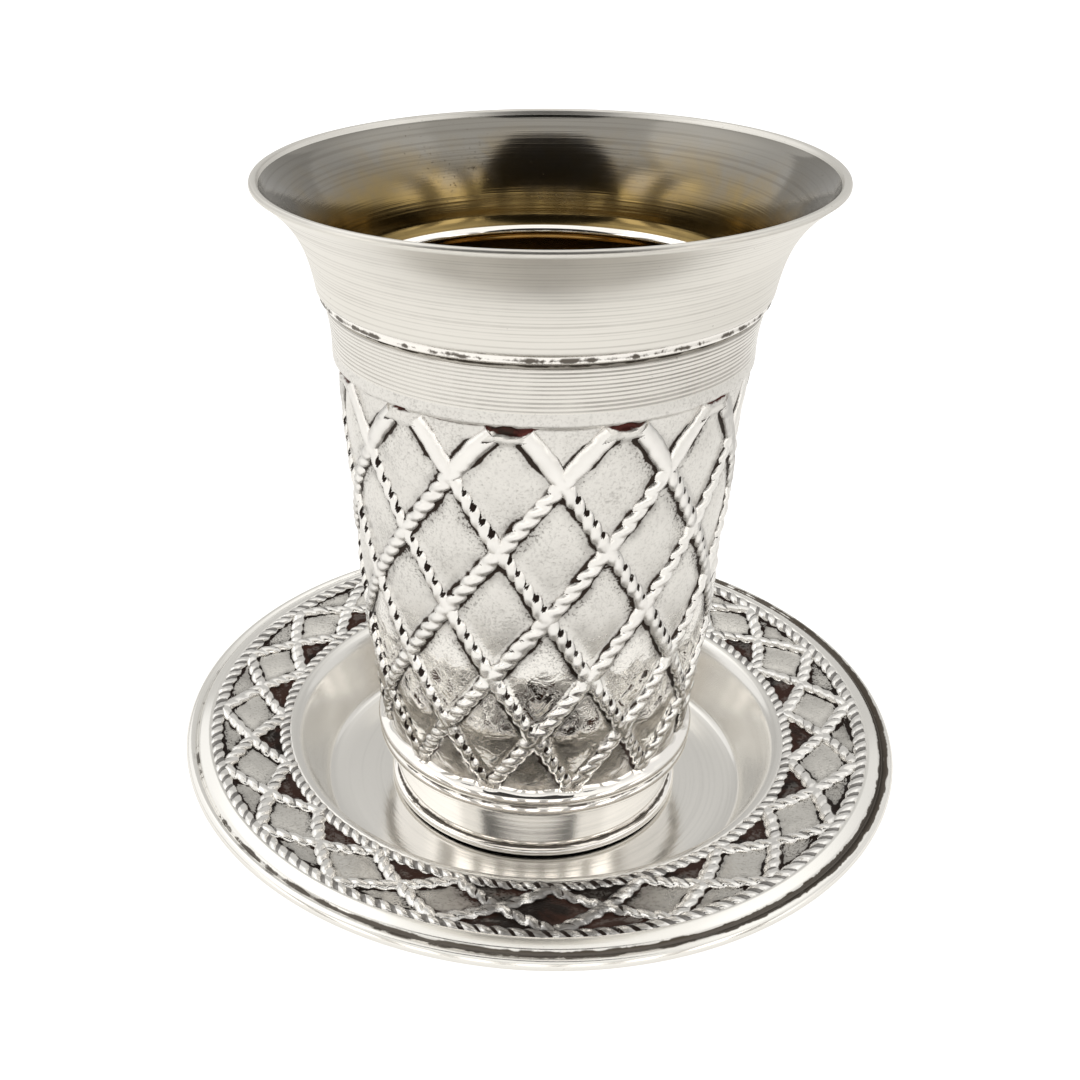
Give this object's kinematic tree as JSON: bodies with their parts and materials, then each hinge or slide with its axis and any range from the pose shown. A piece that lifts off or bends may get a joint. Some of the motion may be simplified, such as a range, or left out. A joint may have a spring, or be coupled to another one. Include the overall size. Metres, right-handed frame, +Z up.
{
  "type": "kiddush cup on a saucer",
  "caption": "Silver kiddush cup with a flared lip and a twisted-wire lattice on its body, standing in a matching saucer with a lattice border.",
  "frame": {"origin": "middle of the saucer's flat underside, on the surface it stands on", "axes": "+Z up along the cup's axis; -Y is the side that faces the viewer; +X is the viewer's right"},
  "size_m": [0.1, 0.1, 0.0896],
  "materials": {
    "cup_silver": "polished and satin silver, grey-brown patina in the recesses",
    "saucer_silver": "satin silver, dark brown patina in the recesses"
  },
  "bodies": {
    "root": {"cup": "cup_silver", "saucer": "saucer_silver"}
  },
  "joints": []
}
